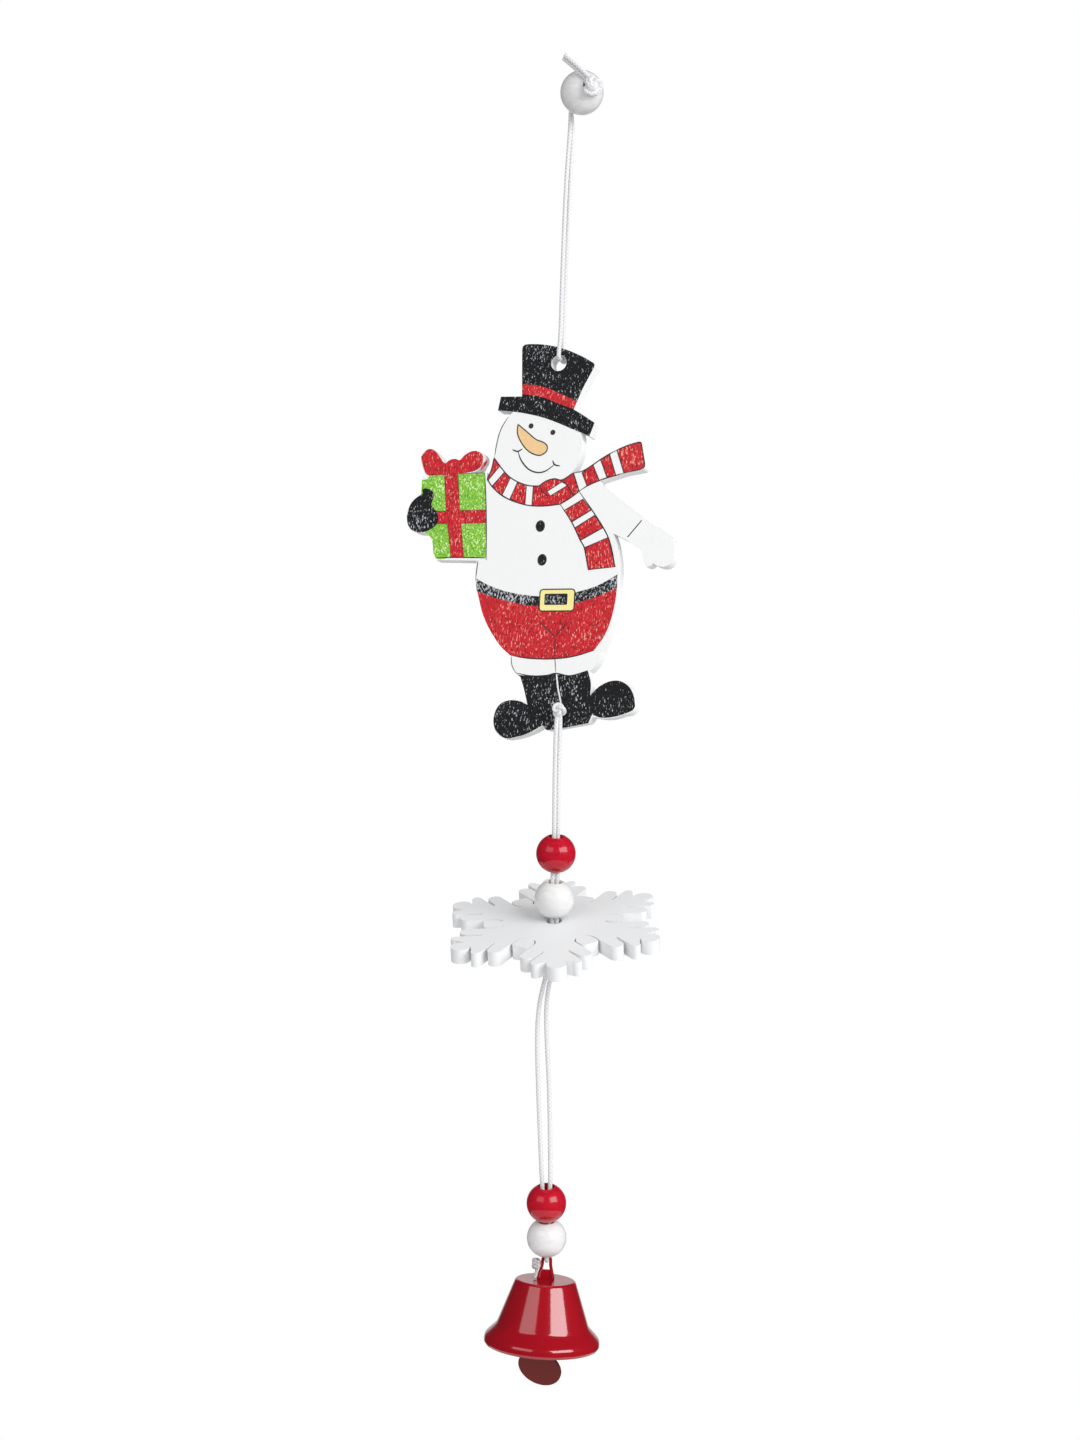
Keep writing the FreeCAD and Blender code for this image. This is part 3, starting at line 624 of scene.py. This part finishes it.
class Print(Shape):
    """Flat printed areas of one colour, on layers in front of the board."""

    def place(self, points, layer):
        """Adds points on a layer and gives the first one's index."""
        base = len(self.verts)
        y = -BOARD_T / 2 - PRINT_OFF - LAYER * layer
        for point in points:
            self.verts.append(on_board(point.x + PRINT_X, y,
                                       point.y + PRINT_Z))
        return base

    def fill(self, layer, *runs, holes=()):
        """An area inside a closed line, around any holes."""
        lines = [joined(runs)] + [joined([h]) for h in holes]
        flat = [p for line in lines for p in line]
        base = self.place(flat, layer)
        faces = tessellate_polygon([[Vector((p.x, p.y, 0)) for p in line]
                                    for line in lines])
        for face in faces:
            a, b, c = (flat[i] for i in face)
            turn = (b - a).cross(c - a)
            if abs(turn) > 1e-9:
                face = face if turn > 0 else face[::-1]
                self.faces.append(tuple(base + i for i in face))

    def stroke(self, layer, width, run, closed=False):
        """A pen line, a little thinner at its open ends."""
        line = run if closed else smooth(run)
        left, right = [], []
        count = len(line)
        for i, point in enumerate(line):
            back = line[i - 1] if closed or i else point
            on = line[(i + 1) % count] if closed or i < count - 1 else point
            along = (on - back).normalized()
            out = Vector((-along.y, along.x)) * (width / 2)
            if not closed:
                out *= min(1.0, 0.45 + 2.5 * min(i, count - 1 - i)
                           / max(count - 1, 1))
            left.append(point + out)
            right.append(point - out)
        base = self.place(left + right, layer)
        for i in range(count if closed else count - 1):
            n = (i + 1) % count
            self.faces.append((base + i, base + count + i,
                               base + count + n, base + n))

    def edge(self, layer, width, *runs):
        """A pen line round an area."""
        line = joined(runs)
        self.stroke(layer, width, line, True)

    def dot(self, layer, x, z, wide, high):
        self.fill(layer, round_of(x, z, wide, high))


def round_of(x, z, wide, high):
    """A closed ellipse."""
    return [(x + wide * math.cos(math.tau * i / 20),
             z + high * math.sin(math.tau * i / 20)) for i in range(21)]


black, belt, red, green, yellow, tan, ink, blank = (Print()
                                                    for _ in range(8))
PEN, FACE_PEN, EDGE_SHADE_PEN = 0.42, 0.5, 0.3
FOLD_PEN, LEG_PEN, SHIN_PEN, CUFF_PEN = 0.38, 0.28, 0.22, 0.8

# top hat
black.fill(1, [(-13.2, 4.3), (-12.9, 5.9), (-11.6, 6.5), (-6, 6.2),
               (-0.1, 5.0), (5.2, 3.1), (10, 0.8), (13.2, -1.1),
               (14.1, -1.9), (14.0, -3.1)],
           [(14.0, -3.1), (10.4, -10.2), (8.7, -14.4), (7.3, -17.8)],
           [(7.3, -17.8), (1.2, -17.6), (-5.3, -15.6), (-12.1, -14.0)],
           [(-12.1, -14.0), (-13.2, 4.3)],
           holes=[round_of(0.9, -0.8, 2.85, 2.85)])
red.fill(2, [(-12.3, -7.7), (-5, -8.9), (1.5, -11.5), (8.5, -14.9)],
         [(8.5, -14.9), (7.3, -17.5)],
         [(7.3, -17.5), (1.2, -15.1), (-5.3, -12.5), (-12.1, -11.3)])
black.fill(2, [(-20.2, -11.9), (-12.1, -12.2)],
           [(-12.1, -12.2), (-3, -13.6), (2.5, -15.6), (7.3, -17.6),
            (11.6, -20.2), (15.4, -22.7)],
           [(15.4, -22.7), (13.8, -27.3)],
           [(13.8, -27.3), (6.9, -24.4), (1.6, -22.1), (-3.8, -20.1),
            (-10.2, -18.4), (-16.6, -17.3), (-21, -16.9)],
           [(-21, -16.9), (-20.2, -11.9)])

# face
for x, z in ((-8.1, -22.9), (0.2, -25.5)):
    ink.dot(3, x, z, 0.92, 0.92)
nose = [(-13.1, -22.1), (-9.2, -25.2), (-5.9, -27.8), (-3.2, -28.9),
        (-1.6, -30.4), (-2.0, -32.4), (-4.5, -33.5), (-8.3, -32.0),
        (-11.1, -29.1), (-13.0, -25.5), (-13.1, -22.1)]
tan.fill(3, nose)
ink.edge(4, PEN, nose)
ink.stroke(3, FACE_PEN, [(-12.5, -31.7), (-11.3, -34.6), (-9.4, -37.1),
                         (-7.2, -38.8), (-4.3, -39.6), (-1.6, -39.1),
                         (1.6, -36.9)])
ink.stroke(3, FACE_PEN, [(-14.6, -31.1), (-12.7, -31.8), (-10.8, -31.0)])
ink.stroke(3, FACE_PEN, [(0.7, -35.5), (1.6, -37.0), (3.6, -37.5)])

# painted shade: dark lines on the board's edge at the left of the head and
# body
ink.stroke(3, EDGE_SHADE_PEN, [(-16.9, -19.2), (-19.5, -23.9), (-20.8, -29.9),
                         (-21.2, -33.6)])
ink.stroke(3, EDGE_SHADE_PEN, [(-25.0, -70.4), (-25.3, -73.5), (-25.5, -76.8)])

# scarf round the neck
neck = ([(-21.4, -33.8), (-17.5, -38.5), (-14.8, -41), (-11.2, -43),
         (-7.3, -44.2), (-3.8, -44.4)],
        [(-3.8, -44.4), (-1.2, -42.7), (1.8, -42.0), (4.6, -42.5),
         (8.7, -40.1)],
        [(8.7, -40.1), (11.2, -46.7)],
        [(11.2, -46.7), (8.0, -49.0), (4.5, -51.0)],
        [(4.5, -51.0), (-1.0, -51.5), (-5, -51.4), (-9, -50.8),
         (-14.3, -49), (-17.9, -47.1), (-21.5, -44), (-23.4, -41.4)],
        [(-23.4, -41.4), (-22.0, -37.6), (-21.4, -33.8)])
red.fill(2, *neck)
ink.edge(4, PEN, *neck)
for a, b, c, d in (
        ((-19.1, -37.0), (-17.1, -39.1), (-21.5, -44.0), (-23.0, -41.7)),
        ((-14.7, -41.2), (-11.9, -42.7), (-14.5, -48.9), (-17.4, -47.2)),
        ((-8.5, -43.9), (-5.9, -44.3), (-6.0, -51.2), (-8.6, -50.8)),
        ((-0.5, -46.3), (4.6, -43.2), (6.8, -44.5), (0.7, -48.0))):
    blank.fill(3, [a, b], [c, d])
    ink.edge(4, PEN * 0.8, [a, b], [c, d])
ink.stroke(4, PEN, [(4.6, -42.5), (7.3, -45.2), (9.4, -48.2)])
ink.stroke(4, PEN, [(-3.4, -45.0), (-1.0, -47.6), (0.7, -48.0)])

# flying end
for a, b, c, d in (
        ((11.9, -40.2), (15.7, -37.5), (18.3, -43.0), (14.0, -44.9)),
        ((18.5, -35.9), (21.5, -33.9), (24.2, -41.4), (21.2, -42.2))):
    red.fill(2, [a, b], [c, d])
    ink.edge(3, PEN, [a, b], [c, d])
end = ([(24.2, -32.6), (28, -31.1), (31.8, -30.1)],
       [(31.8, -30.1), (32.7, -30.3), (33.0, -31.2)],
       [(33.0, -31.2), (34.5, -37.8)],
       [(34.5, -37.8), (34.2, -39.0), (32.7, -39.7)],
       [(32.7, -39.7), (27.2, -40.7)])
red.fill(2, *end)
ink.edge(3, PEN, *end)
for run in ([(8.7, -40.1), (12.0, -39.6), (15.7, -37.5), (18.5, -35.6),
             (21.5, -33.9), (24.2, -32.6)],
            [(11.2, -46.7), (14.0, -44.9), (18.3, -43.1), (21.2, -42.2),
             (24.2, -41.5), (27.2, -40.7)]):
    ink.stroke(3, PEN, run)

# hanging end
for a, b, c, d in (
        ((6.1, -53.3), (12.8, -49.5), (16.0, -53.4), (9.1, -57.4)),
        ((10.3, -59.6), (17.4, -55.3), (20.6, -59.7), (12.7, -63.9)),
        ((14.3, -66.5), (22.8, -63.1), (25.9, -73.3), (16.2, -74.2))):
    red.fill(2, [a, b], [c, d])
    ink.edge(3, PEN, [a, b], [c, d])
ink.stroke(3, PEN, [(4.5, -51.1), (9.1, -57.4), (12.7, -63.9),
                    (14.3, -66.5), (16.2, -74.2)])
ink.stroke(3, PEN, [(11.2, -46.7), (15.5, -52.3), (20.3, -58.9),
                    (22.8, -63.1), (24.4, -67.5), (25.9, -73.3)])

# the free arm's cuff
ink.stroke(3, CUFF_PEN, [(34.5, -57.4), (29.8, -63.1)])

# buttons
for x, z in ((-2.4, -58.6), (-1.0, -70.5)):
    black.dot(2, x, z, 1.5, 1.85)
    ink.edge(3, PEN, round_of(x, z, 1.5, 1.85))

# gift
left = ([(-48.6, -40.9), (-46.3, -40.5), (-45.8, -39.0)],
        [(-45.8, -39.0), (-40.1, -39.0)],
        [(-40.1, -39.0), (-38.3, -52.4)],
        [(-38.3, -52.4), (-48.4, -52.2)])
green.fill(2, *left)
green.fill(2, [(-34.8, -39.2), (-24.5, -39.1)],
           [(-24.5, -39.1), (-23.1, -52.4)], [(-23.1, -52.4), (-33.2, -52.3)])
green.fill(2, [(-44.6, -56.9), (-37.6, -56.9)],
           [(-37.6, -56.9), (-35.4, -69.2)],
           [(-35.4, -69.2), (-41.3, -69.1), (-43.3, -62.5), (-46.3, -59.5)])
green.fill(2, [(-32.4, -57.0), (-22.8, -57.0)],
           [(-22.8, -57.0), (-21.9, -69.5)], [(-21.9, -69.5), (-30.6, -69.2)])
red.fill(2, [(-40.1, -39.0), (-34.8, -39.2)],
         [(-34.8, -39.2), (-33.2, -52.3), (-32.4, -57.0), (-30.6, -69.2)],
         [(-30.6, -69.2), (-35.4, -69.2)],
         [(-35.4, -69.2), (-37.6, -56.9), (-38.3, -52.4), (-40.1, -39.0)])
red.fill(3, [(-43.5, -52.3), (-23.1, -52.4)],
         [(-23.1, -52.4), (-22.8, -57.0)], [(-22.8, -57.0), (-43.5, -56.9)])
for run in ([(-38.4, -52.4), (-44, -52.4)], [(-33.2, -52.3), (-23.1, -52.4)],
            [(-44.6, -56.9), (-37.6, -56.9)],
            [(-32.4, -57.0), (-22.8, -57.0)],
            [(-40.1, -39.0), (-38.4, -52.4)],
            [(-34.8, -39.2), (-33.2, -52.3)],
            [(-37.6, -56.9), (-35.4, -69.2)],
            [(-32.4, -57.0), (-30.6, -69.2)],
            [(-46.0, -39.0), (-24.5, -39.1)],
            [(-24.5, -39.1), (-23.1, -52.7), (-21.9, -70.3)],
            [(-21.9, -69.5), (-31, -69.2), (-41.3, -69.1)]):
    ink.stroke(4, PEN * 0.85, run)
bow = [(-49.5, -32.5), (-47.1, -29.9), (-44.5, -30.3), (-42.0, -33.0),
       (-40.1, -35.1), (-38.4, -34.1), (-36.2, -33.7), (-34.4, -34.2),
       (-32.8, -32.6), (-30.2, -31.2), (-27.6, -31.3), (-25.7, -32.9),
       (-25.6, -35.3), (-26.8, -37.4), (-29.8, -38.6), (-34.0, -39.0),
       (-38.0, -39.4), (-42.0, -39.3), (-46.6, -39.1), (-48.5, -35.8),
       (-49.5, -32.5)]
red.fill(4, bow)
red.fill(3, [(-25.6, -36.2), (-24.3, -34.7), (-24.1, -33.7)],
         [(-24.1, -33.7), (-23.9, -35.5), (-25.4, -37.6), (-26.4, -38.4)])

# mitten on the gift
black.fill(5, [(-53.5, -54.0), (-52.5, -49.8), (-50.4, -47.4),
               (-47.8, -45.9)],
           [(-47.8, -45.9), (-48.0, -44.3), (-46.1, -44.2), (-43.9, -45.5),
            (-43.7, -47.6), (-44.2, -50.1), (-42.2, -52.4), (-41.3, -54.7),
            (-41.7, -57.0), (-44.3, -59.0), (-47.7, -59.9), (-51.2, -59.0),
            (-52.9, -57.0), (-53.5, -54.0)])

# belt, trousers
red.fill(2, [(-24.7, -81.0), (-18.9, -83.2), (-11.6, -85.0), (-1.1, -86.5),
             (6, -86.8), (12, -85.8), (21.1, -83.0), (27, -80.3)],
         [(27, -80.3), (26.6, -85.6), (25.3, -92.2), (23.3, -97.4),
          (20, -102.2)],
         [(20, -102.2), (15.4, -103.6), (10.8, -104.6), (5.7, -105.1),
          (1.5, -105.2), (-5.6, -104.8), (-10.9, -103.8)],
         [(-10.9, -103.8), (-14.4, -100.9), (-18.6, -95.5), (-21.9, -89.6),
          (-23.7, -84.2), (-24.7, -81.0)])
belt.fill(3, [(-25.6, -76.6), (-20.6, -79.1), (-14.3, -81.3), (-7, -82.7),
               (-1.3, -83.3), (6, -83.2), (11.8, -82.1), (18.6, -80.3),
               (23.1, -78.2), (26.9, -76.0)],
           [(26.9, -76.0), (27.1, -80.5)],
           [(27.1, -80.5), (21.1, -83.1), (16.6, -84.6), (12, -85.9),
            (6, -86.9), (-1.1, -86.7), (-6.8, -86.2), (-11.6, -85.2),
            (-18.9, -83.4), (-24.8, -81.2)],
           [(-24.8, -81.2), (-25.6, -76.6)])


def frame_of(x, z, wide, high, corner):
    """A closed rectangle with round corners."""
    line = []
    for cx, cz, first in ((1, 1, 0), (-1, 1, 90), (-1, -1, 180),
                          (1, -1, 270)):
        for step in range(4):
            angle = math.radians(first + 30 * step)
            line.append((x + cx * (wide / 2 - corner)
                         + corner * math.cos(angle),
                         z + cz * (high / 2 - corner)
                         + corner * math.sin(angle)))
    return line + [line[0]]


def straight(line):
    """A closed line as straight runs."""
    return [[a, b] for a, b in zip(line, line[1:])]


# buckle, with the belt seen through it
buckle = straight(frame_of(5.4, -84.7, 12.8, 7.6, 1.1))
window = straight(frame_of(5.0, -84.4, 8.0, 3.5, 0.2))
yellow.fill(4, *buckle)
belt.fill(5, *window)
for runs in (buckle, window):
    ink.edge(6, PEN, *runs)

# folds of the trousers
ink.stroke(3, FOLD_PEN, [(-0.7, -92.0), (2.6, -94.9), (5.5, -97.4)])
ink.stroke(3, FOLD_PEN, [(10.3, -92.1), (8.0, -94.4), (5.5, -97.4)])
ink.stroke(3, LEG_PEN, [(5.5, -97.4), (5.7, -103), (6.5, -109.8)])

# trouser cuffs and boots
ink.stroke(3, PEN, [(-10.9, -103.8), (-5.6, -104.8), (1.5, -105.2),
                    (5.7, -105.1), (10.8, -104.6), (15.4, -103.6),
                    (20, -102.2)])
ink.stroke(3, SHIN_PEN, [(-10.3, -104.3), (-9.8, -107.5), (-8.1, -110.2)])
black.fill(2, [(-8.2, -110.0), (-6.9, -110.8), (-2.4, -111.0),
               (3.3, -110.8), (6.5, -110.1)],
           [(6.5, -110.1), (7.3, -115), (8.9, -121.5), (9.3, -129.3)],
           [(9.3, -129.3), (4.4, -129.9)],
           [(4.4, -129.9), (2.8, -128.2)],
           [(2.8, -128.2), (-2.5, -131.1), (-7.2, -132.5),
            (-10.9, -132.8), (-13.9, -130.8), (-15.3, -128.2),
            (-15.3, -124.6), (-13.6, -121.2), (-10.3, -119.7),
            (-6.0, -120.0), (-3.2, -121.2)],
           [(-3.2, -121.2), (-4.9, -115.6), (-6.4, -111.6)])
black.fill(2, [(7.1, -110.3), (11.7, -110.9), (15.2, -110.3),
               (18.1, -109.1)],
           [(18.1, -109.1), (19.5, -113.3), (19.5, -117.8)],
           [(19.5, -117.8), (21.5, -115.6), (23.6, -114.0), (26.6, -112.8),
            (29.8, -112.7), (33.1, -114.5), (35.1, -117.6),
            (35.9, -121.5)],
           [(35.9, -121.5), (34.9, -122.8), (31.8, -124.1), (27.3, -125.2),
            (23.6, -125.3), (20.6, -124.3)],
           [(20.6, -124.3), (19.4, -127.3)],
           [(19.4, -127.3), (9.3, -129.3)],
           [(9.3, -129.3), (9.5, -121.5), (7.9, -115), (7.1, -110.3)])
ink.stroke(3, PEN, [(-8.2, -110.1), (-2.4, -111.1), (3.3, -110.9),
                    (6.5, -110.2), (11.7, -111.0), (18.1, -109.2)])

for shape, name, look in ((black, "print_black", black_print),
                          (red, "print_red", red_print),
                          (belt, "print_belt", belt_print),
                          (green, "print_green", green_print),
                          (yellow, "print_yellow", yellow_print),
                          (tan, "print_tan", tan_print),
                          (ink, "print_ink", ink_print),
                          (blank, "print_white", white_print)):
    shape.build(name, look, "snowman", False)


# ------------------------------------------------- floor, lights and camera
FLOOR_R, FLOOR_Z, FLOOR_SIDES = 0.6, -0.75, 96  # in metres
floor_data = bpy.data.meshes.new("floor")
floor_data.from_pydata(
    [(FLOOR_R * math.cos(math.tau * i / FLOOR_SIDES),
      FLOOR_R * math.sin(math.tau * i / FLOOR_SIDES), FLOOR_Z)
     for i in range(FLOOR_SIDES)], [], [tuple(range(FLOOR_SIDES))])
floor = bpy.data.objects.new("floor", floor_data)
scene.collection.objects.link(floor)
floor_look = Look("floor", Roughness=0.9)
floor_look.colour(floor_look.mix(
    floor_look.noise(floor_look.coords(), 3, 2), (0.9, 0.9, 0.9),
    (0.92, 0.92, 0.92)))
floor_data.materials.append(floor_look.material)

world = bpy.data.worlds.new("studio")
scene.world = world
world.use_nodes = True
tree = world.node_tree
sky = tree.nodes["Background"]
sky.inputs["Color"].default_value = (1, 1, 1, 1)


def world_math(how, *values):
    made = tree.nodes.new("ShaderNodeMath")
    made.operation = how
    for socket, value in zip(made.inputs, values):
        if isinstance(value, bpy.types.NodeSocket):
            tree.links.new(value, socket)
        else:
            socket.default_value = value
    return made.outputs[0]


# a white backdrop behind the ornament, a dim room in front of it
path = tree.nodes.new("ShaderNodeLightPath")
ray = tree.nodes.new("ShaderNodeTexCoord")


def turned_to(direction, low, high):
    """From 0 to 1 as a ray turns towards the direction."""
    facing = tree.nodes.new("ShaderNodeVectorMath")
    facing.operation = "DOT_PRODUCT"
    tree.links.new(ray.outputs["Generated"], facing.inputs[0])
    facing.inputs[1].default_value = direction
    share = tree.nodes.new("ShaderNodeMapRange")
    share.interpolation_type = "SMOOTHSTEP"
    share.inputs["From Min"].default_value = low
    share.inputs["From Max"].default_value = high
    tree.links.new(facing.outputs["Value"], share.inputs["Value"])
    return share.outputs["Result"]


def between(share, first, last):
    """A share from 0 to 1, brought between two strengths."""
    return world_math("MULTIPLY_ADD", share, last - first, first)


glossy = path.outputs["Is Glossy Ray"]
mirrored = between(turned_to(-AHEAD, 0.86, 0.96), 0.03, 0.72)
fill = world_math("MULTIPLY", between(turned_to(-AHEAD, 0.3, 0.8), 0.71, 0.2),
                  between(turned_to(ACROSS, -1, 1), 0.78, 1.1))
light = world_math("ADD", world_math("MULTIPLY", mirrored, glossy),
                   world_math("MULTIPLY", fill,
                              world_math("SUBTRACT", 1.0, glossy)))
tree.links.new(world_math("MAXIMUM", light, path.outputs["Is Camera Ray"]),
               sky.inputs["Strength"])


AIM = Vector((0, 0, -0.25))      # what the lights face, in metres


def softbox(name, azimuth, height, distance, wide, high, power):
    """A rectangular light round the object, azimuth 0 in front of its face."""
    light = bpy.data.lights.new(name, "AREA")
    light.shape = "RECTANGLE"
    light.size, light.size_y = wide, high
    light.energy = power
    holder = bpy.data.objects.new(name, light)
    angle = math.radians(azimuth)
    holder.location = (distance * math.sin(angle),
                       -distance * math.cos(angle), height)
    toward = AIM - holder.location
    holder.rotation_euler = toward.to_track_quat("-Z", "Y").to_euler()
    scene.collection.objects.link(holder)


softbox("left_box", -19, 0.36, 1.5, 1.2, 0.8, 5.1)
softbox("right_box", 66, 0.36, 1.5, 1.3, 0.8, 19.5)

EYE = Vector((264.1, -702.0, -237.5))
ROLL = math.radians(1.41)
camera_data = bpy.data.cameras.new("camera")
camera = bpy.data.objects.new("camera", camera_data)
scene.collection.objects.link(camera)
scene.camera = camera
camera_data.lens = 53.57
camera_data.sensor_width = 36.0
camera_data.shift_y = 0.0486
camera_data.clip_start, camera_data.clip_end = 0.01, 50
right = ACROSS * math.cos(ROLL) + UP * math.sin(ROLL)
upward = UP * math.cos(ROLL) - ACROSS * math.sin(ROLL)
turned = Matrix((right, upward, AHEAD)).transposed()
camera.matrix_world = Matrix.Translation(EYE * MM) @ turned.to_4x4()

scene.view_settings.view_transform = "Standard"
scene.view_settings.look = "None"
